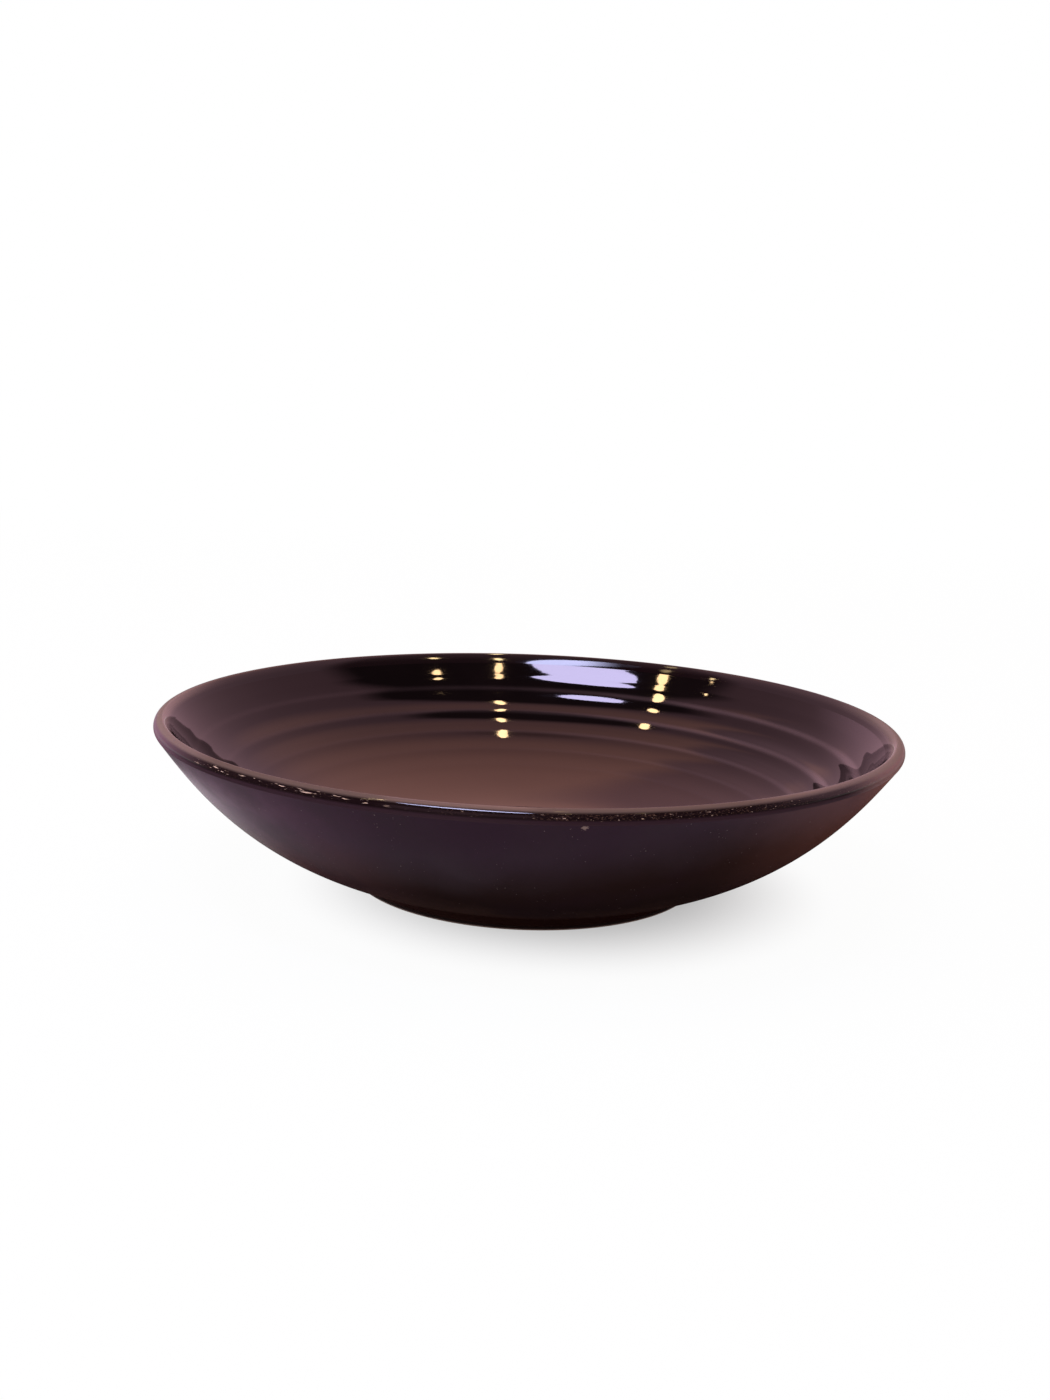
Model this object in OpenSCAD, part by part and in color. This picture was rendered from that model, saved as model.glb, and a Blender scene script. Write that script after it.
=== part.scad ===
// Glazed stoneware pasta bowl. A wheel-thrown body stands on a turned foot
// ring and carries glaze inside, over the lip, outside and under the base.
// Millimetres, +Z up, origin at the centre of the foot's resting face.

/* [Bowl] */
// Diameter over the widest part of the rim
rim_d = 220; // [200:1:250]
// Height from the table to the top of the lip
bowl_h = 50; // [44:1:58]
// Slope of the wall where it leaves the foot, in degrees
base_slope = 12; // [8:1:16]
// Slope of the flare under the lip, in degrees
flare_slope = 54; // [48:1:60]
// How long the wall holds its base slope, as a share of its length
base_pull = 0.52; // [0.4:0.02:0.6]
// How long the wall holds its flare slope, as a share of its length
flare_pull = 0.16; // [0.12:0.02:0.3]

/* [Walls] */
// Thickness of the wall under the lip, glaze included
wall_t = 4.4; // [3.8:0.1:5.4]
// Thickness of the wall over the foot, glaze included
base_t = 7.6; // [6.6:0.1:9]
// Depth of the dish in the floor
floor_dip = 2.4; // [1.6:0.1:2.8]
// Thickness of the glaze
glaze_t = 0.5; // [0.3:0.05:0.7]

/* [Lip] */
// Height of the lip's top above the widest part of the rim
lip_h = 2.5; // [2:0.1:3]
// How far the lip's top lies inside the widest part of the rim
lip_edge = 1.6; // [1.2:0.1:2]
// Radius of the soft break between the wall and the lip
lip_break = 1.8; // [1.2:0.1:3]
// How far down the inside the round of the lip reaches
lip_drop = 2.4; // [1.8:0.1:3.2]

/* [Foot] */
// Diameter of the foot
foot_d = 104; // [90:1:120]
// Height at which the wall would meet the foot
foot_h = 3.1; // [2.6:0.1:4.2]
// How far the side of the foot leans in towards the wall
foot_lean = 3.4; // [2.6:0.1:4]
// Width of the face that the bowl rests on
rest_w = 5.2; // [4:0.1:7]
// Bevel on both edges of the resting face
foot_bevel = 0.7; // [0.4:0.1:0.9]
// Height of the bare clay above the table
bare_h = 1.1; // [1:0.1:1.5]
// How far the inner side of the foot leans in towards the recess
recess_lean = 1; // [0.5:0.1:2]

/* [Throwing rings] */
// Distance of the first ring's ridge in from the rim
ring_start = 12; // [10:0.5:16]
// Spacing of the ridges along the radius
ring_pitch = 7.5; // [6:0.1:9]
// Depth of the hollow under the first ridge
ring_depth = 0.5; // [0.2:0.05:0.7]
// Softness of the ridges, from sharp to round
ridge_soft = 0.25; // [0.1:0.05:0.6]

/* [Hidden] */
$fn = 180;
wall_steps = 48;
inner_steps = 72;
floor_steps = 48;
lip_steps = 10;
break_steps = 6;
cove_steps = 8;

inside_colour = [0.27, 0.19, 0.18];
lip_colour = [0.36, 0.26, 0.25];
outside_colour = [0.18, 0.13, 0.17];
underside_colour = [0.14, 0.10, 0.11];
clay_colour = [0.66, 0.57, 0.47];

rim_r = rim_d / 2;
foot_r = foot_d / 2;
wide_z = bowl_h - lip_h;
break_turn = 90 - flare_slope;

function heading(a) = [cos(a), sin(a)];
function bezier2(a, b, c, u) =
    pow(1 - u, 2) * a + 2 * (1 - u) * u * b + u * u * c;
function bezier3(a, b, c, d, u) =
    pow(1 - u, 3) * a + 3 * pow(1 - u, 2) * u * b
    + 3 * (1 - u) * u * u * c + pow(u, 3) * d;
function meet(p, d, q, e) = p + d * cross(q - p, e) / cross(d, e);
function slice(list, low, high) = [for (i = [low:high]) list[i]];
function turned(list) = [for (i = [len(list) - 1:-1:0]) list[i]];

// Unit normal on the left of a path, which is the clay's side of the skin
function into(path, i) =
    let (last = len(path) - 1)
    let (step = path[min(i + 1, last)] - path[max(i - 1, 0)])
    path[i][0] == 0 ? [0, -1] : [-step[1], step[0]] / norm(step);

// Outer wall, from the foot to the break under the lip
wall_start = [foot_r - foot_lean, foot_h];
wall_end = [
    rim_r - lip_break * (1 - cos(break_turn)),
    wide_z - lip_break * sin(break_turn)
];
wall_len = norm(wall_end - wall_start);
base_handle = wall_start + base_pull * wall_len * heading(base_slope);
flare_handle = wall_end - flare_pull * wall_len * heading(flare_slope);

function wall_point(u) =
    bezier3(wall_start, base_handle, flare_handle, wall_end, u);
function wall_heading(u) =
    let (way = bezier2(base_handle - wall_start, flare_handle - base_handle,
        wall_end - flare_handle, u))
    way / norm(way);
function wall_thickness(u) = base_t + (wall_t - base_t) * u * u * (3 - 2 * u);
function inner_wall(u) =
    let (way = wall_heading(u))
    wall_point(u) + wall_thickness(u) * [-way[1], way[0]];

// Floor, dished so that it runs on from the slope of the inner wall
floor_r = inner_wall(0)[0];
floor_z = inner_wall(0)[1];
floor_power = floor_r * tan(base_slope) / floor_dip;
function floor_point(r) =
    [r, floor_z - floor_dip * (1 - pow(r / floor_r, floor_power))];

// Throwing rings, fading out towards the middle of the floor
ring_r = rim_r - ring_start;
ring_count = floor(ring_r / ring_pitch) - 1;
ring_end_r = ring_r - ring_count * ring_pitch;
function hollow(turns) =
    (norm([sin(180 * turns), ridge_soft]) - ridge_soft)
    / (norm([1, ridge_soft]) - ridge_soft);
function ring_at(r) =
    r > ring_r || r < ring_end_r ? 0
    : ring_depth * (r - ring_end_r) / (ring_r - ring_end_r)
    * hollow((ring_r - r) / ring_pitch);

// Glazed skin, from the foot over the lip to the middle of the floor
inner_top = 1 - lip_drop / (3 * flare_pull * wall_len);
lip_in = inner_wall(inner_top);
lip_way = wall_heading(inner_top);
lip_top = [rim_r - lip_edge, bowl_h];
lip_corner = meet(lip_in, lip_way, lip_top, [1, 0]);

wall_skin = [for (i = [0:wall_steps]) wall_point(i / wall_steps)];
break_skin = [
    for (i = [1:break_steps])
        let (a = break_turn * (i / break_steps - 1))
        [rim_r, wide_z] + lip_break * (heading(a) - [1, 0])
];
edge_skin = [
    for (i = [1:lip_steps])
        let (a = 90 * i / lip_steps)
        [rim_r - lip_edge * (1 - cos(a)), wide_z + lip_h * sin(a)]
];
round_skin = [
    for (i = [1:lip_steps - 1])
        bezier2(lip_top, lip_corner, lip_in, i / lip_steps)
];
inner_base = concat(
    [for (i = [0:inner_steps]) inner_wall(inner_top * (1 - i / inner_steps))],
    [for (i = [1:floor_steps]) floor_point(floor_r * (1 - i / floor_steps))]
);
inner_skin = [
    for (i = [0:len(inner_base) - 1])
        inner_base[i] + ring_at(inner_base[i][0]) * into(inner_base, i)
];
skin = concat(wall_skin, break_skin, edge_skin, round_skin, inner_skin);
wall_last = wall_steps;
lip_last = wall_last + break_steps + 2 * lip_steps;
skin_last = len(skin) - 1;

// Clay under the skin
clay = [for (i = [0:skin_last]) skin[i] + glaze_t * into(skin, i)];
notch = clay[0];
base_z = notch[1];

// Foot ring under the base
rest_out = [foot_r - foot_bevel, 0];
rest_in = rest_out - [rest_w, 0];
foot_out = [foot_r, foot_bevel];
foot_in = rest_in + foot_bevel * [-1, 1];
recess_top = [foot_in[0] - recess_lean, base_z];
side_way = (notch - foot_out) / norm(notch - foot_out);
recess_way = (recess_top - foot_in) / norm(recess_top - foot_in);

// Edges of the glaze on both sides of the foot ring
side_edge = foot_out + side_way * (bare_h - foot_bevel) / side_way[1];
side_roll = side_edge + glaze_t * [side_way[1], -side_way[0]];
side_corner = meet(side_roll, side_way, skin[0], heading(base_slope));
side_cove = [
    for (i = [0:cove_steps])
        bezier2(side_roll, side_corner, skin[1], i / cove_steps)
];
recess_edge = foot_in + recess_way * (bare_h - foot_bevel) / recess_way[1];
recess_roll = recess_edge + glaze_t * [-recess_way[1], recess_way[0]];
recess_z = base_z - glaze_t;
recess_corner = meet(recess_roll, recess_way, [0, recess_z], [1, 0]);
recess_flat = recess_corner - [recess_z - recess_roll[1], 0];
recess_cove = [
    for (i = [0:cove_steps])
        bezier2(recess_flat, recess_corner, recess_roll, i / cove_steps)
];

module clay_body() {
    color(clay_colour)
        rotate_extrude()
            polygon(concat([[0, base_z]], clay));
}

module foot_ring() {
    color(clay_colour)
        rotate_extrude()
            polygon([rest_out, foot_out, notch, recess_top, foot_in, rest_in]);
}

module inside_glaze() {
    color(inside_colour)
        rotate_extrude()
            polygon(concat(
                slice(clay, lip_last, skin_last),
                turned(slice(skin, lip_last, skin_last))
            ));
}

module lip_glaze() {
    color(lip_colour)
        rotate_extrude()
            polygon(concat(
                slice(clay, wall_last, lip_last),
                turned(slice(skin, wall_last, lip_last))
            ));
}

module outside_glaze() {
    color(outside_colour)
        rotate_extrude()
            polygon(concat(
                [side_edge],
                slice(clay, 0, wall_last),
                turned(slice(skin, 2, wall_last)),
                turned(side_cove)
            ));
}

module underside_glaze() {
    color(underside_colour)
        rotate_extrude()
            polygon(concat(
                [[0, base_z], [0, recess_z]],
                recess_cove,
                [recess_edge, recess_top]
            ));
}

clay_body();
foot_ring();
inside_glaze();
lip_glaze();
outside_glaze();
underside_glaze();
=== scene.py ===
import math

import bpy
from mathutils import Matrix, Vector


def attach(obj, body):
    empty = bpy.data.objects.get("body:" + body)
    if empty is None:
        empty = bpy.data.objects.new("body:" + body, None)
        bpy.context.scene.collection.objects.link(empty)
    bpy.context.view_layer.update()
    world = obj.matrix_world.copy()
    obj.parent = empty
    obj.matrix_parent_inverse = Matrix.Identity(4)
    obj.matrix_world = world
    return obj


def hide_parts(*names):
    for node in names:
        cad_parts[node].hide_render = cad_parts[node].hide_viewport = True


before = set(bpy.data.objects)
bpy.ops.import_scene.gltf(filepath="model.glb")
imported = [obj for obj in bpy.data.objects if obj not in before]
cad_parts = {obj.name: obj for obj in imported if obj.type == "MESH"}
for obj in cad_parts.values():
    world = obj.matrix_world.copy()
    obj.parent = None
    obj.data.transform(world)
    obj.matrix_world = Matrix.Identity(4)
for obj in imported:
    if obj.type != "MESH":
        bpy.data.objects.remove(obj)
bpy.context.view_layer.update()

scene = bpy.context.scene
scene.view_settings.view_transform = "Standard"
print("frame loaded:", ", ".join(sorted(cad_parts)))


# a socket that can be used in sums, so shader maths reads as plain expressions
class Wire:
    def __init__(self, finish, socket):
        self.finish = finish
        self.socket = socket

    def __add__(self, other):
        return self.finish.math("ADD", self, other)

    def __radd__(self, other):
        return self.finish.math("ADD", other, self)

    def __sub__(self, other):
        return self.finish.math("SUBTRACT", self, other)

    def __rsub__(self, other):
        return self.finish.math("SUBTRACT", other, self)

    def __mul__(self, other):
        return self.finish.math("MULTIPLY", self, other)

    def __rmul__(self, other):
        return self.finish.math("MULTIPLY", other, self)

    def __pow__(self, other):
        return self.finish.math("POWER", self, other)


# one node tree, with the few moves that every finish here is made of
class Finish:
    def __init__(self, owner):
        owner.use_nodes = True
        self.tree = owner.node_tree
        self.tree.nodes.clear()

    def node(self, kind, settings, inputs, output=0):
        made = self.tree.nodes.new(kind)
        for name, value in settings.items():
            setattr(made, name, value)
        for key, value in inputs.items():
            if isinstance(value, Wire):
                self.tree.links.new(value.socket, made.inputs[key])
            else:
                made.inputs[key].default_value = value
        return Wire(self, made.outputs[output])

    def math(self, operation, first, second):
        return self.node("ShaderNodeMath", {"operation": operation}, {0: first, 1: second})

    def vector(self, operation, first, second, output=0):
        return self.node("ShaderNodeVectorMath", {"operation": operation}, {0: first, 1: second}, output)

    def colours(self, factor, first, second):
        settings = {"data_type": "RGBA", "clamp_factor": True}
        return self.node("ShaderNodeMix", settings, {0: factor, 6: first, 7: second}, 2)

    def fade(self, value, low, high):
        settings = {"interpolation_type": "SMOOTHSTEP", "clamp": True}
        return self.node("ShaderNodeMapRange", settings, {0: value, 1: low, 2: high, 3: 0.0, 4: 1.0})

    # 1 after a rising edge and before a falling one
    def between(self, value, rising, falling):
        return self.fade(value, *rising) * (1 - self.fade(value, *falling))

    def place(self):
        return self.node("ShaderNodeTexCoord", {}, {}, "Object")

    def part(self, vector, axis):
        return self.node("ShaderNodeSeparateXYZ", {}, {0: vector}, axis)

    # how far a place lies from the bowl's axis
    def radius(self, place):
        flat = self.vector("MULTIPLY", place, (1.0, 1.0, 0.0))
        return self.vector("LENGTH", flat, (0, 0, 0), "Value")

    def noise(self, vector, scale, detail, roughness):
        inputs = {"Vector": vector, "Scale": scale, "Detail": detail, "Roughness": roughness}
        return self.node("ShaderNodeTexNoise", {"noise_dimensions": "3D"}, inputs)

    def bump(self, height, strength, distance):
        inputs = {"Height": height, "Strength": strength, "Distance": distance}
        return self.node("ShaderNodeBump", {}, inputs)

    def surface(self, shader, kind="ShaderNodeOutputMaterial"):
        end = self.tree.nodes.new(kind)
        self.tree.links.new(shader.socket, end.inputs[0])

    def principled(self, inputs):
        self.surface(self.node("ShaderNodeBsdfPrincipled", {}, inputs))


def colour(red, green, blue):
    return (red, green, blue, 1.0)


cameraView = {
    "target": 0.025,      # height of the point that the distance is counted from
    "distance": 0.46,
    "rise": 14.743,       # degrees above the table
    "look": 11.205,       # degrees that the camera looks down
    "turn": -0.212,       # degrees that it looks to the right
    "roll": 2.159,
    "lens": 38.87,
    "sensor": 36.0,
    "nearest": 0.01,      # what lies closer than this, in metres, isn't drawn
}


def placeCamera():
    rise = math.radians(cameraView["rise"])
    look = math.radians(cameraView["look"])
    turn = math.radians(cameraView["turn"])
    roll = math.radians(cameraView["roll"])
    away = Vector((0, -math.cos(rise), math.sin(rise)))
    place = Vector((0, 0, cameraView["target"])) + cameraView["distance"] * away
    ahead = Vector((math.sin(turn) * math.cos(look), math.cos(turn) * math.cos(look), -math.sin(look)))
    right = ahead.cross(Vector((0, 0, 1))).normalized()
    up = right.cross(ahead)
    rightRolled = math.cos(roll) * right + math.sin(roll) * up
    upRolled = math.cos(roll) * up - math.sin(roll) * right
    data = bpy.data.cameras.new("camera")
    data.sensor_width = cameraView["sensor"]
    data.lens = cameraView["lens"]
    data.clip_start = cameraView["nearest"]
    camera = bpy.data.objects.new("camera", data)
    scene.collection.objects.link(camera)
    turned = Matrix((rightRolled, upRolled, -ahead)).transposed().to_4x4()
    camera.matrix_world = Matrix.Translation(place) @ turned
    scene.camera = camera


placeCamera()
print("camera placed")


bowlSection = {           # millimetres and degrees, as the solids have them
    "rimAcross": 220.0,
    "height": 50.0,
    "baseSlope": 12.0,
    "flareSlope": 54.0,
    "basePull": 0.52,
    "flarePull": 0.16,
    "wallThick": 4.4,
    "baseThick": 7.6,
    "floorDip": 2.4,
    "glazeThick": 0.5,
    "lipRise": 2.5,
    "lipBreak": 1.8,
    "lipDrop": 2.4,
    "footAcross": 104.0,
    "footRise": 3.1,
    "footLean": 3.4,
    "restWide": 5.2,
    "footBevel": 0.7,
    "bareHigh": 1.1,
    "recessLean": 1.0,
}

millimetre = 0.001
spinSteps = 320
weldGap = 5e-7            # points closer than this, in metres, become one
creaseAngle = 40          # edges sharper than this, in degrees, stay hard
wallSeam = 0.0004         # a ring this close to a seam keeps the shading of both sides level
lipSeam = 0.002           # the same on the lip, both as shares of a stretch


def heading(degrees):
    return Vector((math.cos(math.radians(degrees)), math.sin(math.radians(degrees))))


def leftOf(way):
    return Vector((-way.y, way.x)).normalized()


def quadratic(a, b, c, u):
    return (1 - u) ** 2 * a + 2 * (1 - u) * u * b + u * u * c


def cubic(a, b, c, d, u):
    return (1 - u) ** 3 * a + 3 * (1 - u) ** 2 * u * b + 3 * (1 - u) * u * u * c + u ** 3 * d


def crossing(p, way, q, other):
    gap = q - p
    return p + way * (gap.x * other.y - gap.y * other.x) / (way.x * other.y - way.y * other.x)


def smooth(value, low, high):
    share = min(max((value - low) / (high - low), 0.0), 1.0)
    return share * share * (3 - 2 * share)


lipCrown = 2.6            # the glaze rounds the lip off, so its top lies further in than the solid's
rimRadius = bowlSection["rimAcross"] / 2
footRadius = bowlSection["footAcross"] / 2
wideZ = bowlSection["height"] - bowlSection["lipRise"]
breakTurn = 90 - bowlSection["flareSlope"]
glazeThick = bowlSection["glazeThick"]
wallStart = Vector((footRadius - bowlSection["footLean"], bowlSection["footRise"]))
wallEnd = Vector((
    rimRadius - bowlSection["lipBreak"] * (1 - math.cos(math.radians(breakTurn))),
    wideZ - bowlSection["lipBreak"] * math.sin(math.radians(breakTurn)),
))
wallLong = (wallEnd - wallStart).length
baseHandle = wallStart + bowlSection["basePull"] * wallLong * heading(bowlSection["baseSlope"])
flareHandle = wallEnd - bowlSection["flarePull"] * wallLong * heading(bowlSection["flareSlope"])


def wallPoint(u):
    return cubic(wallStart, baseHandle, flareHandle, wallEnd, u)


def wallHeading(u):
    way = quadratic(baseHandle - wallStart, flareHandle - baseHandle, wallEnd - flareHandle, u)
    return way.normalized()


def innerWall(u):
    base = bowlSection["baseThick"]
    thick = base + (bowlSection["wallThick"] - base) * u * u * (3 - 2 * u)
    return wallPoint(u) + thick * leftOf(wallHeading(u))


floorRadius = innerWall(0).x
floorZ = innerWall(0).y
floorPower = floorRadius * math.tan(math.radians(bowlSection["baseSlope"])) / bowlSection["floorDip"]


def floorPoint(r):
    return Vector((r, floorZ - bowlSection["floorDip"] * (1 - (r / floorRadius) ** floorPower)))


innerTop = 1 - bowlSection["lipDrop"] / (3 * bowlSection["flarePull"] * wallLong)
lipIn = innerWall(innerTop)
lipTop = Vector((rimRadius - lipCrown, bowlSection["height"]))
lipCorner = crossing(lipIn, wallHeading(innerTop), lipTop, Vector((1, 0)))


def breakPoint(u):
    turn = breakTurn * (u - 1)
    return Vector((rimRadius, wideZ)) + bowlSection["lipBreak"] * (heading(turn) - Vector((1, 0)))


def edgePoint(u):
    turn = math.radians(90 * u)
    out = rimRadius - lipCrown * (1 - math.cos(turn))
    return Vector((out, wideZ + bowlSection["lipRise"] * math.sin(turn)))


def roundPoint(u):
    return quadratic(lipTop, lipCorner, lipIn, u)


def insidePath(wallSteps, floorSteps):
    shares = [0.0, wallSeam] + [i / wallSteps for i in range(1, wallSteps + 1)]
    wall = [innerWall(innerTop * (1 - share)) for share in shares]
    floor = [floorPoint(floorRadius * (1 - i / floorSteps)) for i in range(1, floorSteps + 1)]
    return wall + floor


def lipPath(breakSteps, edgeSteps, roundSteps):
    points = [breakPoint(0), breakPoint(lipSeam)]
    points += [breakPoint(i / breakSteps) for i in range(1, breakSteps + 1)]
    points += [edgePoint(i / edgeSteps) for i in range(1, edgeSteps + 1)]
    points += [roundPoint(i / roundSteps) for i in range(1, roundSteps)]
    return points + [roundPoint(1 - lipSeam), lipIn.copy()]


def wallPath(low, high, steps):
    shares = [low, low + wallSeam] + [low + (high - low) * i / steps for i in range(1, steps)]
    return [wallPoint(share) for share in shares + [high - wallSeam, high]]


# moves a path towards the clay, which lies on its left
def sunk(path, depth):
    moved = []
    last = len(path) - 1
    for i, point in enumerate(path):
        step = path[min(i + 1, last)] - path[max(i - 1, 0)]
        side = Vector((0, -1)) if point.x < 1e-6 else leftOf(step)
        moved.append(point + depth(point.x) * side)
    return moved


def evenDepth(r):
    return glazeThick


# draws an outline point by point and turns it into a round piece
def turnOnWheel(name, outline, closed=True):
    bpy.ops.object.select_all(action="DESELECT")
    bpy.ops.mesh.primitive_plane_add(size=millimetre, location=(0, 0, 0))
    piece = bpy.context.active_object
    piece.name = name
    piece.data.name = name
    bpy.ops.object.mode_set(mode="EDIT")
    bpy.ops.mesh.select_all(action="SELECT")
    bpy.ops.mesh.merge(type="CENTER")
    points = outline + outline[:1] if closed else outline
    here = Vector((0, 0))
    for i, point in enumerate(points):
        step = (point - here) * millimetre
        move = {"value": (step.x, 0, step.y)}
        if i == 0:
            bpy.ops.transform.translate(value=move["value"])
        else:
            bpy.ops.mesh.extrude_vertices_move(TRANSFORM_OT_translate=move)
        here = point
    bpy.ops.mesh.select_all(action="SELECT")
    bpy.ops.mesh.remove_doubles(threshold=weldGap)
    bpy.ops.mesh.select_all(action="SELECT")
    bpy.ops.mesh.spin(steps=spinSteps, angle=math.tau, center=(0, 0, 0), axis=(0, 0, 1))
    bpy.ops.mesh.select_all(action="SELECT")
    bpy.ops.mesh.remove_doubles(threshold=weldGap)
    bpy.ops.mesh.normals_make_consistent(inside=False)
    bpy.ops.object.mode_set(mode="OBJECT")
    return piece


def softEdges(piece):
    bpy.ops.object.select_all(action="DESELECT")
    piece.select_set(True)
    bpy.context.view_layer.objects.active = piece
    bpy.ops.object.shade_smooth_by_angle(angle=math.radians(creaseAngle))


def handOver(piece, node, material):
    piece.data.materials.clear()
    piece.data.materials.append(material)
    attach(piece, "root")
    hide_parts(node)
    print(piece.name, "made with", len(piece.data.polygons), "faces")


throwingRings = {         # marks of the potter's fingers, in millimetres
    "start": 97.7,        # radius of the outermost ridge at the back
    "pitch": 7.45,
    "wobble": 0.08,       # share of the pitch by which the rings lie off the middle
    "soft": 0.50,         # how rounded the ridges are
    "depths": [           # depth of the hollows at some radii
        (60.0, 0.0), (70.0, 0.055), (76.0, 0.09), (81.0, 0.145), (85.5, 0.19),
        (88.0, 0.32), (95.0, 0.37), (98.0, 0.23), (101.5, 0.0),
    ],
    "deepest": 0.9,
    "leftShare": 0.55,    # the rings are shallow on the left and deep on the right
    "leftFade": (-0.75, -0.2),
    "rightShare": 2.2,
    "rightFade": (0.55, 0.95),
    "swell": 0.66,        # the wall is a little fuller at the turn to the floor
    "swellOut": (86.0, 100.5),
    "swellIn": (46.0, 82.0),
}


def ringDepth(r):
    depths = throwingRings["depths"]
    for (low, shallow), (high, deep) in zip(depths, depths[1:]):
        if low <= r <= high:
            return shallow + (deep - shallow) * (r - low) / (high - low)
    return 0.0


def swellHeight(r):
    out = 1 - smooth(r, *throwingRings["swellOut"])
    return throwingRings["swell"] * out * smooth(r, *throwingRings["swellIn"])


# turn runs from -1 at the left end of the bowl to 1 at the right end
def ringShare(turn):
    left = 1 - smooth(turn, *throwingRings["leftFade"])
    right = smooth(turn, *throwingRings["rightFade"])
    return 1 + (throwingRings["leftShare"] - 1) * left + (throwingRings["rightShare"] - 1) * right


def clayDepth(r):
    return glazeThick + throwingRings["rightShare"] * ringDepth(r)


# 0 on a ridge and 1 in the middle of a hollow
def hollow(turn, r):
    turns = (throwingRings["start"] - r) / throwingRings["pitch"] - throwingRings["wobble"] * turn
    soft = throwingRings["soft"]
    return (math.hypot(math.sin(math.pi * turns), soft) - soft) / (math.hypot(1, soft) - soft)


# pushes the surface along its normals, by a height in millimetres times each point's weight
def relief(piece, name, weights, height):
    group = piece.vertex_groups.new(name=name)
    for index, weight in weights.items():
        group.add([index], weight, "REPLACE")
    bpy.ops.object.modifier_add(type="DISPLACE")
    modifier = piece.modifiers[-1]
    modifier.strength = height * millimetre
    modifier.mid_level = 0.0
    modifier.vertex_group = name
    bpy.ops.object.modifier_apply(modifier=modifier.name)
    piece.vertex_groups.clear()


insideGlaze = {
    "node": "inside_glaze",
    "slot": "inside_gloss",
    "steps": (150, 60),   # along the wall and along the floor
    "backSteps": (30, 12),
    "facingUp": 0.05,     # points whose normal rises less than this belong to the back of the coat
    "ridgeLeft": 0.3,     # share of the ridges' colour on the left; their lighter colour is partly thin glaze and partly painted highlight
    "ridgeFade": (-0.2, 0.6),
    "ridgeSharp": 4,
    "base": colour(0.0045, 0.0024, 0.0026),
    "pool": colour(0.0030, 0.0016, 0.0018),
    "poolFade": (0.35, 0.7),
    "floor": colour(0.036, 0.017, 0.012),
    "brownTo": 0.058,     # the floor is brown up to this radius, in metres, partly the glaze's own tone and partly painted reflection
    "blackFrom": 0.090,
    "brownDrift": 0.012,
    "ridge": colour(0.050, 0.033, 0.034),
    "rightRidge": colour(0.120, 0.080, 0.082),
    "rightFrom": (0.075, 0.092),  # the ridges grow lighter towards the right end, but not at the back: painted highlight
    "rightBack": (0.0, 0.025),
    # lighter tone at the right end: painted light
    "rightEndLight": colour(0.082, 0.055, 0.061),
    "rightEndLightFrom": (0.092, 0.110),
    "cloud": (55.0, 4.0, 0.55),   # scale, detail and roughness of a noise, here and below
    "grain": (900.0, 3.0, 0.6),
    "peel": (420.0, 2.0, 0.4),
    "peelStrength": 0.25,
    "peelHigh": 0.00002,
    "tint": colour(1.0, 0.88, 0.88),
    "roughness": 0.04,
}
insideBack = sunk(insidePath(*insideGlaze["backSteps"]), clayDepth)


def insideFinish():
    material = bpy.data.materials.new("insideGloss")
    finish = Finish(material)
    look = insideGlaze
    place = finish.place()
    across = finish.part(place, "X")
    deep = finish.part(place, "Y")
    ridge = finish.node("ShaderNodeAttribute", {"attribute_name": "ridge"}, {}, "Fac")
    cloud = finish.noise(place, *look["cloud"])
    grain = finish.noise(place, *look["grain"])
    body = finish.colours(finish.fade(cloud, *look["poolFade"]), look["pool"], look["base"])
    radius = finish.radius(place) + look["brownDrift"] * (cloud - 0.5)
    brown = 1 - finish.fade(radius, look["brownTo"], look["blackFrom"])
    # brown floor: partly the glaze's own tone, partly painted reflection
    body = finish.colours(brown * (0.75 + 0.5 * cloud), body, look["floor"])
    # lighter ridges: partly thin glaze, partly painted highlight
    body = finish.colours(ridge * (0.7 + 0.6 * cloud), body, look["ridge"])
    # painted highlight on the ridges at the right end
    rightEnd = finish.fade(across, *look["rightFrom"]) * (1 - finish.fade(deep, *look["rightBack"]))
    body = finish.colours(rightEnd * ridge ** 0.5, body, look["rightRidge"])
    # painted light at the right end
    body = finish.colours(finish.fade(across, *look["rightEndLightFrom"]), body, look["rightEndLight"])
    peel = finish.noise(place, *look["peel"])
    finish.principled({
        "Base Color": body,
        "Roughness": look["roughness"] + 0.03 * (cloud - 0.5) + 0.02 * (grain - 0.5),
        "Normal": finish.bump(peel, look["peelStrength"], look["peelHigh"]),
        "Specular Tint": look["tint"],
    })
    return material


def makeInside():
    skin = insidePath(*insideGlaze["steps"])
    piece = turnOnWheel("insideGlaze", skin[::-1] + insideBack, closed=False)
    sharp = insideGlaze["ridgeSharp"]
    least = insideGlaze["ridgeLeft"]
    ridge = [0.0] * len(piece.data.vertices)
    dips = {}
    swells = {}
    for vertex in piece.data.vertices:
        if vertex.normal.z < insideGlaze["facingUp"]:
            continue
        r = math.hypot(vertex.co.x, vertex.co.y) / millimetre
        turn = vertex.co.x / millimetre / max(r, 1.0)
        depth = ringDepth(r)
        dip = hollow(turn, r)
        dips[vertex.index] = ringShare(turn) * depth * dip / throwingRings["deepest"]
        swells[vertex.index] = swellHeight(r) / throwingRings["swell"]
        # the ridges' lighter colour is stronger on the right, where it is painted highlight in part
        side = least + (1 - least) * smooth(turn, *insideGlaze["ridgeFade"])
        ridge[vertex.index] = side * min(1.0, sharp * depth) * max(0.0, 1 - sharp * dip) ** 2
    relief(piece, "rings", dips, -throwingRings["deepest"])
    relief(piece, "swell", swells, throwingRings["swell"])
    attribute = piece.data.attributes.new("ridge", "FLOAT", "POINT")
    attribute.data.foreach_set("value", ridge)
    softEdges(piece)
    handOver(piece, insideGlaze["node"], insideFinish())


makeInside()


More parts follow.
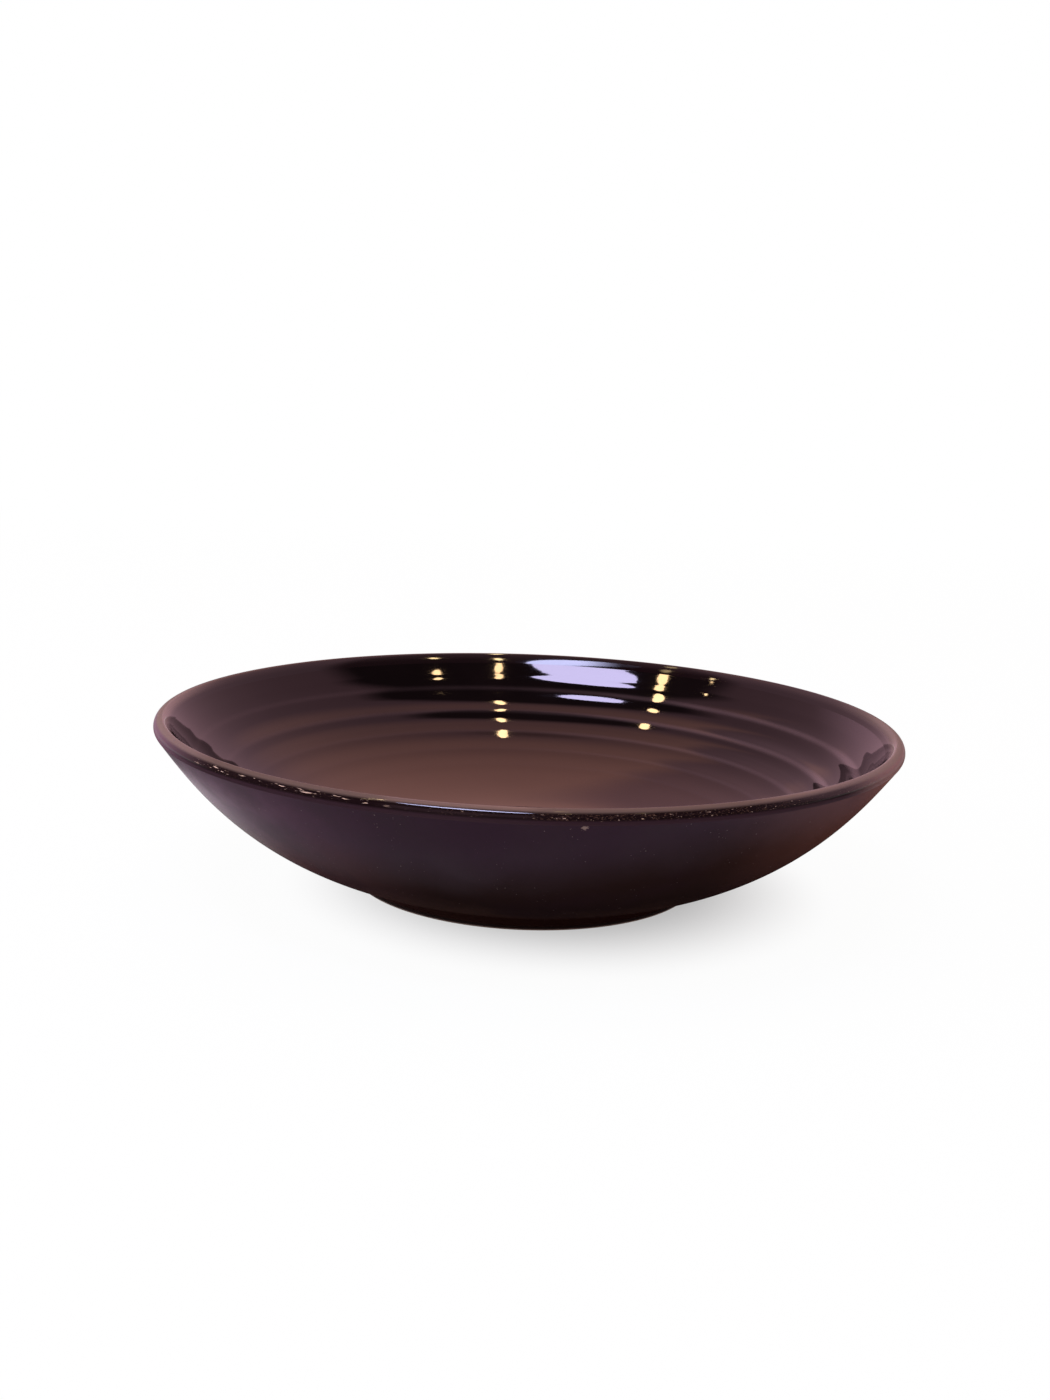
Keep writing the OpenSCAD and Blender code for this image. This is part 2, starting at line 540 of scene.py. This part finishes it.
lipGlaze = {              # radii, heights and places in metres
    "node": "lip_glaze",
    "slot": "lip_gloss",
    "steps": (12, 22, 20),        # along the break, the outer edge and the inner round
    "backSteps": (8, 10, 8),
    "base": colour(0.0090, 0.0040, 0.0046),
    "thin": colour(0.125, 0.088, 0.070),
    "far": colour(0.026, 0.015, 0.015),
    "pale": colour(0.270, 0.200, 0.168),
    "wall": colour(0.038, 0.020, 0.026),
    # violet at the left end and brown at the right end of the outer lip: partly the glaze's own tone,
    # partly painted reflection
    "violet": colour(0.190, 0.112, 0.138),
    "rightBrown": colour(0.250, 0.152, 0.140),
    "scuffed": colour(0.120, 0.068, 0.048),
    "bare": colour(0.62, 0.46, 0.34),
    "outerFrom": (0.1072, 0.1078),  # radii where the crest turns to the outside
    "innerTo": (0.1066, 0.1076),
    "crestOuter": (0.0490, 0.0497),  # heights from which the glaze is thin
    "crestInner": (0.0477, 0.0497),
    "wallTo": (0.0472, 0.0480),   # heights up to which the lip has the colour of the wall
    "leftEnd": (-0.106, -0.076),
    "rightEnd": (0.079, 0.099),
    "farFrom": (-0.03, 0.05),     # thin glaze is darker towards the back (painted shade) and paler at both ends, but not behind them (painted light)
    "paleShare": 0.6,             # and paler at both ends, but not behind them
    "paleBack": (0.0, 0.04),
    "paleLoss": 0.95,
    "squeeze": 4.0,               # wear is longer along the lip than across it
    "grain": (1500.0, 3.0, 0.65),
    "flecks": (900.0, 2.0, 0.5),
    "dashes": (620.0, 2.0, 0.5),
    "dashLong": (0.45, 1.0, 1.0),
    "patches": (60.0, 2.0, 0.5),
    "patchFade": (0.42, 0.62),
    "patchShare": 0.3,            # how much of the wear lies outside the two worn stretches
    "nearSide": (-0.07, -0.03),
    "leftWorn": ((-0.090, -0.078), (-0.036, -0.030)),
    "rightWorn": ((-0.002, 0.006), (0.048, 0.074)),
    "band": ((0.0474, 0.0481), (0.0490, 0.0493)),  # heights where the edge is worn
    "nicksFrom": (0.0479, 0.0484),
    "scuffFade": (0.56, 0.66),
    "chipFade": (0.67, 0.73),
    "nickFade": (0.62, 0.67),
    "wornStrength": 0.4,
    "wornDeep": 0.0001,
    "edgeGloss": 0.03,            # weight of the clear layer where the edge turns down
    "edgeFrom": (0.0477, 0.0484),
    "behind": (0.080, 0.098),     # the clear layer is lost inside the back, right of the middle
    "behindRight": (0.016, 0.034),
    "behindLoss": 0.98,
    "endLoss": 0.9,               # on the outside of both ends
    "stretchLoss": 0.85,          # on the worn stretches
    "tip": ((-0.030, -0.012), (0.016, 0.034)),  # and inside the right end
    "tipFrom": (0.0482, 0.0492),
    "tipLoss": 0.7,
    "wornLoss": 0.8,
    "bodyRoughness": 0.6,
    "clearRoughness": 0.06,
}
lipBack = sunk(lipPath(*lipGlaze["backSteps"]), evenDepth)


def lipFinish():
    material = bpy.data.materials.new("lipGloss")
    finish = Finish(material)
    look = lipGlaze
    place = finish.place()
    height = finish.part(place, "Z")
    across = finish.part(place, "X")
    deep = finish.part(place, "Y")
    radius = finish.radius(place)
    outer = finish.fade(radius, *look["outerFrom"])
    left = 1 - finish.fade(across, *look["leftEnd"])
    right = finish.fade(across, *look["rightEnd"])
    near = 1 - finish.fade(deep, *look["nearSide"])
    leftWorn = near * finish.between(across, *look["leftWorn"])
    rightWorn = near * finish.between(across, *look["rightWorn"])

    along = rimRadius * millimetre * finish.math("ARCTAN2", across, 0 - deep)
    lengths = {0: along, 1: look["squeeze"] * height, 2: look["squeeze"] * radius}
    run = finish.node("ShaderNodeCombineXYZ", {}, lengths)
    grain = finish.noise(run, *look["grain"])
    flecks = finish.noise(run, *look["flecks"])
    dashes = finish.noise(finish.vector("MULTIPLY", run, look["dashLong"]), *look["dashes"])
    patches = finish.fade(finish.noise(place, *look["patches"]), *look["patchFade"])
    band = outer * finish.between(height, *look["band"])
    rubbed = rightWorn + look["patchShare"] * patches
    scuffs = band * rubbed * finish.fade(grain, *look["scuffFade"])
    chips = band * rubbed * finish.fade(flecks, *look["chipFade"])
    nicks = band * leftWorn * finish.fade(dashes, *look["nickFade"])
    nicks = nicks * finish.fade(height, *look["nicksFrom"])
    bare = finish.math("MAXIMUM", chips, nicks)
    worn = finish.math("MAXIMUM", scuffs, bare)

    below = outer * (1 - finish.fade(height, *look["wallTo"]))
    body = finish.colours(below, look["base"], look["wall"])
    # partly painted reflection at both ends
    body = finish.colours(left * left * outer, body, look["violet"])
    body = finish.colours(right * outer, body, look["rightBrown"])
    # painted light: paler crest at both ends
    ends = look["paleShare"] * (left + right)
    ends = ends * (1 - look["paleLoss"] * finish.fade(deep, *look["paleBack"]))
    # painted shade: darker crest towards the back
    thin = finish.colours(finish.fade(deep, *look["farFrom"]), look["thin"], look["far"])
    thin = finish.colours(ends, thin, look["pale"])
    crest = outer * finish.fade(height, *look["crestOuter"])
    crest = crest + (1 - outer) * finish.fade(height, *look["crestInner"])
    body = finish.colours(crest, body, thin)
    body = finish.colours(scuffs, body, look["scuffed"])
    body = finish.colours(bare, body, look["bare"])

    turned = outer * (1 - finish.fade(height, *look["edgeFrom"]))
    behind = (1 - finish.fade(radius, *look["innerTo"])) * finish.fade(deep, *look["behind"])
    behind = behind * finish.fade(across, *look["behindRight"])
    tip = right * finish.between(deep, *look["tip"]) * (1 - outer) * finish.fade(height, *look["tipFrom"])
    gloss = 1 + (look["edgeGloss"] - 1) * turned
    gloss = gloss * (1 - look["behindLoss"] * behind)
    gloss = gloss * (1 - look["endLoss"] * (left + right) * outer)
    gloss = gloss * (1 - look["stretchLoss"] * (leftWorn + rightWorn) * outer)
    gloss = gloss * (1 - look["tipLoss"] * tip)
    gloss = gloss * (1 - look["wornLoss"] * worn)
    finish.principled({
        "Base Color": body,
        "Roughness": look["bodyRoughness"],
        "Normal": finish.bump(1 - worn, look["wornStrength"], look["wornDeep"]),
        "Specular IOR Level": 0.0,
        "Coat Weight": gloss,
        "Coat Roughness": look["clearRoughness"],
    })
    return material


def makeLip():
    skin = lipPath(*lipGlaze["steps"])
    piece = turnOnWheel("lipGlaze", skin + lipBack[::-1])
    softEdges(piece)
    handOver(piece, lipGlaze["node"], lipFinish())


makeLip()


outsideGlaze = {          # heights and places in metres
    "node": "outside_glaze",
    "slot": "outside_gloss",
    "steps": 96,
    "backSteps": 30,
    "coveSteps": 16,
    # violet above and dark brown below: partly the glaze's own tone, partly painted reflection
    "upper": colour(0.020, 0.0050, 0.0145),
    # violet on the left and brown on the right flank: partly the glaze's own tone, partly painted
    # reflection of the surroundings
    "violet": colour(0.105, 0.043, 0.075),
    # bright edge on the left: painted reflection of the surroundings at a grazing angle
    "leftEdgeSheen": colour(0.160, 0.068, 0.120),
    "rightBrown": colour(0.110, 0.048, 0.048),
    # bright edge on the right: painted reflection
    "rightEdgeSheen": colour(0.260, 0.125, 0.095),
    # the lower and the foot colours are lifted by painted light against the shade low on the wall, most
    # near the foot
    "lower": colour(0.0180, 0.0084, 0.0072),
    # lighter lower wall at the left and on the right flank: painted light
    "lowLeftLit": colour(0.090, 0.043, 0.043),
    "lowRightLit": colour(0.100, 0.039, 0.029),
    "foot": colour(0.062, 0.030, 0.022),
    "break": colour(0.020, 0.0080, 0.0125),
    "dust": colour(0.20, 0.16, 0.15),
    "chip": colour(0.30, 0.21, 0.17),
    "cloud": (45.0, 4.0, 0.55),
    "heightDrift": 0.010,         # how far the clouds move the edges of the colours
    "acrossDrift": 0.016,
    "lines": (1.0, 3.0, 0.6),     # fine lines left by turning, which run round the bowl
    "lineStretch": (12.0, 12.0, 900.0),
    "lineStrength": 0.12,
    "lineHigh": 0.0001,
    "specks": (1500.0, 1.0, 0.4),
    "speckFade": (0.755, 0.785),
    "drifts": (70.0, 2.0, 0.5),
    "driftFade": (0.46, 0.6),
    "frontTo": (-0.02, 0.04),     # most of the colours by place, which are painted reflection and light in part, end here, towards the back
    "backLoss": 0.75,
    "rise": (0.018, 0.037),       # heights between the lower and the upper colours, which lie higher on the right; the split is partly the glaze's own tone and partly painted reflection
    "riseRight": 0.012,           # which lie higher on the right
    "riseFade": (-0.02, 0.06),
    "flank": (0.04, 0.10),
    "leftTo": (-0.11, -0.025),
    "leftTop": (0.040, 0.047),
    "topLoss": 0.45,
    "leftEdgeSheenTo": (-0.105, -0.055),
    "leftEdgeSheenTop": (0.036, 0.047),
    "rightEdgeSheenFrom": (0.084, 0.106),
    "lowLeftLitTo": (-0.075, -0.020),
    "footTo": (0.006, 0.018),
    "breakFade": (0.45, 0.75),
    "breakShare": 0.35,
    "dustShare": 0.6,
    "chipAt": (0.0137, -0.1083, 0.0459),
    "chipFade": (0.0004, 0.0010),
    "chipRagged": 0.0022,
    "chipShare": 0.6,
    "flakes": (1600.0, 2.0, 0.6),
    "gloss": 0.16,                # weight of the clear layer over the glaze
    "lowGloss": 0.004,
    "rightGloss": 0.012,
    "leftGloss": 0.60,
    "dustLoss": 0.8,
    "bodyRoughness": 0.5,
    "clearRoughness": 0.22,
}


def outsideFinish():
    material = bpy.data.materials.new("outsideGloss")
    finish = Finish(material)
    look = outsideGlaze
    place = finish.place()
    cloud = finish.noise(place, *look["cloud"])
    height = finish.part(place, "Z") + look["heightDrift"] * (cloud - 0.5)
    across = finish.part(place, "X") + look["acrossDrift"] * (cloud - 0.5)
    front = 1 - look["backLoss"] * finish.fade(finish.part(place, "Y"), *look["frontTo"])
    rise = finish.fade(height - look["riseRight"] * finish.fade(across, *look["riseFade"]), *look["rise"])
    flank = finish.fade(across, *look["flank"]) * front
    left = (1 - finish.fade(across, *look["leftTo"])) * front
    left = left * (1 - look["topLoss"] * finish.fade(height, *look["leftTop"]))
    # painted reflection along the left edge
    leftEdgeSheen = (1 - finish.fade(across, *look["leftEdgeSheenTo"])) * front
    leftEdgeSheen = leftEdgeSheen * (1 - finish.fade(height, *look["leftEdgeSheenTop"]))
    # painted reflection along the right edge
    rightEdgeSheen = finish.fade(across, *look["rightEdgeSheenFrom"]) * front
    lowLeftLit = (1 - finish.fade(across, *look["lowLeftLitTo"])) * front

    # left violet and right brown: partly painted reflection
    upper = finish.colours(left, look["upper"], look["violet"])
    upper = finish.colours(leftEdgeSheen, upper, look["leftEdgeSheen"])
    upper = finish.colours(flank, upper, look["rightBrown"])
    upper = finish.colours(rightEdgeSheen, upper, look["rightEdgeSheen"])
    # painted light: lighter towards the foot, against the shade under the bowl
    lower = finish.colours(finish.fade(height, *look["footTo"]), look["foot"], look["lower"])
    # painted light low on the left and right
    lower = finish.colours(lowLeftLit, lower, look["lowLeftLit"])
    lower = finish.colours(flank, lower, look["lowRightLit"])
    # the upper and lower colours meet here, a split that is partly painted reflection
    body = finish.colours(rise, lower, upper)
    body = finish.colours(look["breakShare"] * finish.fade(cloud, *look["breakFade"]), body, look["break"])
    specks = finish.fade(finish.noise(place, *look["specks"]), *look["speckFade"])
    dust = specks * finish.fade(finish.noise(place, *look["drifts"]), *look["driftFade"])
    body = finish.colours(look["dustShare"] * dust, body, look["dust"])
    gap = finish.vector("DISTANCE", place, look["chipAt"], "Value")
    flakes = finish.noise(place, *look["flakes"])
    chip = 1 - finish.fade(gap + look["chipRagged"] * (flakes - 0.5), *look["chipFade"])
    body = finish.colours(look["chipShare"] * chip, body, look["chip"])

    gloss = look["gloss"] + (look["rightGloss"] - look["gloss"]) * flank
    gloss = look["lowGloss"] + (gloss - look["lowGloss"]) * rise
    gloss = gloss + (look["leftGloss"] - gloss) * leftEdgeSheen
    gloss = gloss * (1 - look["dustLoss"] * dust) * (0.8 + 0.4 * cloud)
    lines = finish.noise(finish.vector("MULTIPLY", place, look["lineStretch"]), *look["lines"])
    finish.principled({
        "Base Color": body,
        "Roughness": look["bodyRoughness"],
        "Normal": finish.bump(lines, look["lineStrength"], look["lineHigh"]),
        "Specular IOR Level": 0.0,
        "Coat Weight": gloss,
        "Coat Roughness": look["clearRoughness"],
    })
    return material


restOut = Vector((footRadius - bowlSection["footBevel"], 0))
restIn = restOut - Vector((bowlSection["restWide"], 0))
footOut = Vector((footRadius, bowlSection["footBevel"]))
footIn = restIn + bowlSection["footBevel"] * Vector((-1, 1))
notch = wallStart + glazeThick * leftOf(heading(bowlSection["baseSlope"]))
recessTop = Vector((footIn.x - bowlSection["recessLean"], notch.y))
sideWay = (notch - footOut).normalized()
recessWay = (recessTop - footIn).normalized()
bareRise = bowlSection["bareHigh"] - bowlSection["footBevel"]
sideEdge = footOut + sideWay * bareRise / sideWay.y
sideRoll = sideEdge + glazeThick * Vector((sideWay.y, -sideWay.x))
sideCorner = crossing(sideRoll, sideWay, wallStart, heading(bowlSection["baseSlope"]))
coveEnd = 1 / 48          # share of the wall at which the groove over the foot ends
recessEdge = footIn + recessWay * bareRise / recessWay.y
recessRoll = recessEdge + glazeThick * Vector((-recessWay.y, recessWay.x))
recessZ = notch.y - glazeThick
recessCorner = crossing(recessRoll, recessWay, Vector((0, recessZ)), Vector((1, 0)))
recessFlat = recessCorner - Vector((recessZ - recessRoll.y, 0))
wallBack = [notch] + sunk(wallPath(coveEnd, 1.0, outsideGlaze["backSteps"]), evenDepth)


def makeOutside():
    steps = outsideGlaze["coveSteps"]
    cove = [quadratic(sideRoll, sideCorner, wallPoint(coveEnd), i / steps) for i in range(steps)]
    skin = cove + wallPath(coveEnd, 1.0, outsideGlaze["steps"])
    piece = turnOnWheel("outsideGlaze", [sideEdge] + skin + wallBack[::-1])
    softEdges(piece)
    handOver(piece, outsideGlaze["node"], outsideFinish())


makeOutside()


undersideGlaze = {
    "node": "underside_glaze",
    "slot": "underside_gloss",
    "flatSteps": 24,
    "coveSteps": 12,
    "base": colour(0.0085, 0.0055, 0.0060),
    "pool": colour(0.020, 0.012, 0.011),
    "poolFade": (0.4, 0.7),
    "cloud": (70.0, 4.0, 0.6),
    "drift": (48.0, 2.0, 0.5),
    "driftFar": 5.0,      # how far the turned rings are pushed out of round, in radians
    "ringTurn": 3600.0,   # radians per metre
    "ringStrength": 0.15,
    "ringHigh": 0.00004,
    "tint": colour(1.0, 0.8, 0.9),
    "roughness": 0.18,
}


def undersideFinish():
    material = bpy.data.materials.new("undersideGloss")
    finish = Finish(material)
    look = undersideGlaze
    place = finish.place()
    cloud = finish.noise(place, *look["cloud"])
    away = finish.vector("LENGTH", place, (0, 0, 0), "Value")
    drift = look["driftFar"] * finish.noise(place, *look["drift"])
    rings = finish.math("SINE", look["ringTurn"] * away + drift, 0.0)
    finish.principled({
        "Base Color": finish.colours(finish.fade(cloud, *look["poolFade"]), look["base"], look["pool"]),
        "Roughness": look["roughness"] + 0.1 * (cloud - 0.5),
        "Normal": finish.bump(rings, look["ringStrength"], look["ringHigh"]),
        "Specular Tint": look["tint"],
    })
    return material


def makeUnderside():
    steps = undersideGlaze["flatSteps"]
    flat = [Vector((recessFlat.x * i / steps, recessZ)) for i in range(steps + 1)]
    steps = undersideGlaze["coveSteps"]
    cove = [quadratic(recessFlat, recessCorner, recessRoll, i / steps) for i in range(1, steps + 1)]
    middle = Vector((0, notch.y))
    piece = turnOnWheel("undersideGlaze", [*flat, *cove, recessEdge, recessTop, middle], closed=False)
    softEdges(piece)
    handOver(piece, undersideGlaze["node"], undersideFinish())


makeUnderside()


bareClay = {              # what the foot and the body have in common
    "cloud": (120.0, 4.0, 0.6),
    "cloudFade": (0.3, 0.75),
    "grit": (1400.0, 3.0, 0.6),
    "gritStrength": 0.5,
    "gritHigh": 0.00012,
    "spots": (800.0, 1.0, 0.4),
    "spotFade": (0.70, 0.74),
    "spotShare": 0.8,
    "shine": 0.3,
}

footRing = {
    "node": "foot_ring",
    "slot": "foot_clay",
    "bevelSteps": 8,
    "clay": colour(0.70, 0.59, 0.48),
    "dark": colour(0.52, 0.41, 0.31),
    "iron": colour(0.06, 0.035, 0.025),
    "sideDark": colour(0.030, 0.018, 0.014),
    "sideDarkFrom": 0.0003,  # height over the table from which the side of the foot is darker
    "sideDarkTo": 0.0006,
    "sideDarkDrift": 0.0003,
    "sideDarkOut": (0.0495, 0.0505),  # radii, so that the darker band stays on the outer side
    "roughness": 0.8,
}


def clayFinish(name, look):
    material = bpy.data.materials.new(name)
    finish = Finish(material)
    place = finish.place()
    cloud = finish.noise(place, *bareClay["cloud"])
    grit = finish.noise(place, *bareClay["grit"])
    iron = finish.fade(finish.noise(place, *bareClay["spots"]), *bareClay["spotFade"])
    body = finish.colours(finish.fade(cloud, *bareClay["cloudFade"]), look["dark"], look["clay"])
    body = finish.colours(bareClay["spotShare"] * iron, body, look["iron"])
    # the side of the foot is darker from a small height up
    if "sideDark" in look:
        height = finish.part(place, "Z") + look["sideDarkDrift"] * (cloud - 0.5)
        sideDarkShare = finish.fade(height, look["sideDarkFrom"], look["sideDarkTo"])
        sideDarkShare = sideDarkShare * finish.fade(finish.radius(place), *look["sideDarkOut"])
        body = finish.colours(sideDarkShare, body, look["sideDark"])
    finish.principled({
        "Base Color": body,
        "Roughness": look["roughness"] + 0.15 * (grit - 0.5),
        "Normal": finish.bump(grit, bareClay["gritStrength"], bareClay["gritHigh"]),
        "Specular IOR Level": bareClay["shine"],
    })
    return material


def makeFoot():
    steps = footRing["bevelSteps"]
    outCorner = Vector((footRadius, 0))
    inCorner = Vector((footIn.x, 0))
    outer = [quadratic(restOut, outCorner, footOut, i / steps) for i in range(steps + 1)]
    inner = [quadratic(footIn, inCorner, restIn, i / steps) for i in range(steps + 1)]
    piece = turnOnWheel("footRing", outer + [sideEdge, notch, recessTop, recessEdge] + inner)
    softEdges(piece)
    handOver(piece, footRing["node"], clayFinish("footClay", footRing))


makeFoot()


clayBody = {
    "node": "clay_body",
    "slot": "body_clay",
    "clay": colour(0.46, 0.36, 0.27),
    "dark": colour(0.31, 0.22, 0.155),
    "iron": colour(0.07, 0.04, 0.03),
    "roughness": 0.85,
}


def makeClay():
    outline = [Vector((0, notch.y))] + wallBack + lipBack[1:] + insideBack[1:]
    piece = turnOnWheel("clayBody", outline, closed=False)
    softEdges(piece)
    handOver(piece, clayBody["node"], clayFinish("bodyClay", clayBody))


makeClay()


white = colour(1, 1, 1)
studio = {
    "floorAcross": 8.0,
    "floorSides": 128,
    "floorMiddle": 1.0,   # radius of the floor's middle face
    "floorDrop": 0.0002,  # the floor lies a hair under the foot, so that the two faces never fight
    "paper": colour(0.84, 0.97, 0.91),
    "fibre": colour(0.86, 0.99, 0.93),
    "fibres": (900.0, 3.0, 0.6),
    "plainNear": 0.97,    # share of plain white in the floor round the bowl
    "shadowAt": (0.010, -0.004, 0.0),
    "shadowShare": 0.43,  # and what is left of it under the bowl, where the shadow lies
    "shadowFrom": 0.030,
    "shadowTo": 0.085,
    "plainFrom": 0.45,    # metres from the bowl where the floor starts to run into white
    "plainTo": 1.4,
    "dim": colour(0.05, 0.035, 0.038),
    "dimFrom": (0.58, 0.74),      # how high over the front the room grows dim
    "front": colour(0.34, 0.21, 0.25),
    "back": colour(0.60, 0.345, 0.41),
    "backFrom": (-0.02, 0.16),
    "glow": colour(0.60, 0.27, 0.13),
    "glowFrom": (-0.05, 0.60, 0.798),
    "glowFade": (0.79, 0.98),
    "shadeFrom": (-0.34, 0.72, 0.605),
    "shadeFade": (0.93, 0.975),
    "lowTo": (0.0, 0.03),         # mirrored rays this flat meet plain white
}


# rays from the camera, and rays that were mirrored or went through something
def plainRays(finish):
    camera = finish.node("ShaderNodeLightPath", {}, {}, "Is Camera Ray")
    rays = camera.socket.node.outputs
    return camera, Wire(finish, rays["Is Glossy Ray"]) + Wire(finish, rays["Is Transmission Ray"])


def makeFloor():
    reach = studio["floorAcross"] / 2
    bpy.ops.object.select_all(action="DESELECT")
    bpy.ops.mesh.primitive_circle_add(vertices=studio["floorSides"], radius=reach, fill_type="NGON")
    floor = bpy.context.active_object
    floor.name = "floor"
    bpy.ops.object.mode_set(mode="EDIT")
    bpy.ops.mesh.select_all(action="SELECT")
    bpy.ops.mesh.inset(thickness=reach - studio["floorMiddle"])
    bpy.ops.mesh.select_all(action="SELECT")
    bpy.ops.transform.translate(value=(0, 0, -studio["floorDrop"]))
    bpy.ops.object.mode_set(mode="OBJECT")
    material = bpy.data.materials.new("floorPaper")
    finish = Finish(material)
    place = finish.place()
    away = finish.vector("LENGTH", place, (0, 0, 0), "Value")
    paper = finish.colours(finish.noise(place, *studio["fibres"]), studio["paper"], studio["fibre"])
    matt = finish.node("ShaderNodeBsdfDiffuse", {}, {"Color": paper})
    plain = finish.node("ShaderNodeEmission", {}, {"Color": white, "Strength": 1.0})
    thrown = finish.vector("DISTANCE", place, studio["shadowAt"], "Value")
    clear = finish.fade(thrown, studio["shadowFrom"], studio["shadowTo"])
    near = studio["plainNear"] * (studio["shadowShare"] + (1 - studio["shadowShare"]) * clear)
    far = (1 - studio["plainNear"]) * finish.fade(away, studio["plainFrom"], studio["plainTo"])
    camera, mirrored = plainRays(finish)
    share = (near + far) * (camera + mirrored)
    mixed = finish.node("ShaderNodeMixShader", {}, {0: share, 1: matt, 2: plain})
    finish.surface(mixed)
    floor.data.materials.append(material)


def makeWorld():
    world = bpy.data.worlds.new("studioAir")
    scene.world = world
    finish = Finish(world)
    way = finish.node("ShaderNodeTexCoord", {}, {}, "Generated")
    rise = finish.part(way, "Z")
    back = finish.fade(finish.part(way, "Y"), *studio["backFrom"])
    glowing = finish.vector("DOT_PRODUCT", way, studio["glowFrom"], "Value")
    shaded = finish.vector("DOT_PRODUCT", way, studio["shadeFrom"], "Value")
    glow = finish.fade(glowing, *studio["glowFade"]) * (1 - finish.fade(shaded, *studio["shadeFade"]))
    low = 1 - finish.fade(rise, *studio["lowTo"])
    front = finish.colours(finish.fade(rise, *studio["dimFrom"]), studio["front"], studio["dim"])
    room = finish.colours(back, front, studio["back"])
    settings = {"data_type": "RGBA", "blend_type": "ADD"}
    lit = finish.node("ShaderNodeMix", settings, {0: glow, 6: room, 7: studio["glow"]}, 2)
    camera, mirrored = plainRays(finish)
    seen = finish.colours(camera + mirrored * low, lit, white)
    air = finish.node("ShaderNodeBackground", {}, {"Color": seen, "Strength": 1.0})
    finish.surface(air, "ShaderNodeOutputWorld")


lampCentre = Vector((0.02, 0.088, 0.035))  # the lamps' directions are counted from the back wall

softbox = {               # the window, sizes in metres and light as radiance
    "way": (-0.205, -0.36, 0.90),
    "side": (1.0, -0.58, 0.0),
    "away": 2.2,
    "wide": 1.12,
    "high": 0.33,
    "colour": (0.62, 0.63, 1.0),
    "radiance": 24.0,
}

bulbs = {                 # small warm lamps, each with its direction, its run and its size in degrees
    "places": [
        {"way": (0.08, 0.07, 0.995), "side": (-0.15, 1.0, 0.0), "wide": 12.0, "high": 1.7},
        {"way": (0.13, -0.385, 0.91), "side": (0.0, 1.0, 0.0), "wide": 4.5, "high": 1.9},
        {"way": (-0.41, 0.025, 0.91), "side": (0.42, 0.9, 0.18), "wide": 12.0, "high": 2.3},
        {"way": (-0.505, -0.18, 0.845), "side": (0.42, 0.9, 0.18), "wide": 5.0, "high": 2.6},
        {"way": (0.365, -0.25, 0.90), "side": (0.0, 1.0, 0.0), "wide": 3.5, "high": 2.0},
        {"way": (-0.64, -0.02, 0.77), "side": (0.5, 0.8, 0.0), "wide": 2.5, "high": 0.9},
    ],
    "away": 3.0,
    "colour": (1.0, 0.735, 0.38),
    "radiance": 34.0,
}

fills = {                 # wide soft lamps that only lift the shade, in watts
    "left": {"way": (-0.86, -0.20, 0.46), "colour": (0.84, 0.80, 1.0), "strength": 18.0},
    "right": {"way": (0.86, 0.10, 0.50), "colour": (1.0, 0.78, 0.60), "strength": 2.0},
    "top": {"way": (0.0, -0.1, 1.0), "colour": (0.92, 1.0, 0.97), "strength": 6.0},
    "side": (0.3, 1.0, 0.0),
    "away": 2.0,
    "wide": 1.6,
}


def hangLamp(name, way, side, away, wide, high, tint, strength):
    back = Vector(way).normalized()
    first = Vector(side)
    first = (first - first.dot(back) * back).normalized()
    data = bpy.data.lights.new(name, "AREA")
    data.shape = "ELLIPSE"
    data.size = wide
    data.size_y = high
    data.energy = strength
    data.color = tint
    lamp = bpy.data.objects.new(name, data)
    scene.collection.objects.link(lamp)
    turned = Matrix((first, back.cross(first), back)).transposed().to_4x4()
    lamp.matrix_world = Matrix.Translation(lampCentre + back * away) @ turned
    return lamp


# watts of an oval lamp of this radiance
def ovalStrength(radiance, wide, high):
    return radiance * math.pi ** 2 / 4 * wide * high


def hangLights():
    wide = softbox["wide"]
    high = softbox["high"]
    strength = ovalStrength(softbox["radiance"], wide, high)
    hangLamp("softbox", softbox["way"], softbox["side"], softbox["away"], wide, high,
             softbox["colour"], strength)
    away = bulbs["away"]
    for bulb in bulbs["places"]:
        wide = 2 * away * math.tan(math.radians(bulb["wide"] / 2))
        high = 2 * away * math.tan(math.radians(bulb["high"] / 2))
        strength = ovalStrength(bulbs["radiance"], wide, high)
        hangLamp("bulb", bulb["way"], bulb["side"], away, wide, high, bulbs["colour"], strength)
    wide = fills["wide"]
    for name in ("left", "right", "top"):
        fill = fills[name]
        lamp = hangLamp(name + "Fill", fill["way"], fills["side"], fills["away"], wide, wide,
                        fill["colour"], fill["strength"])
        lamp.visible_glossy = False


makeFloor()
makeWorld()
hangLights()
print("studio lit")
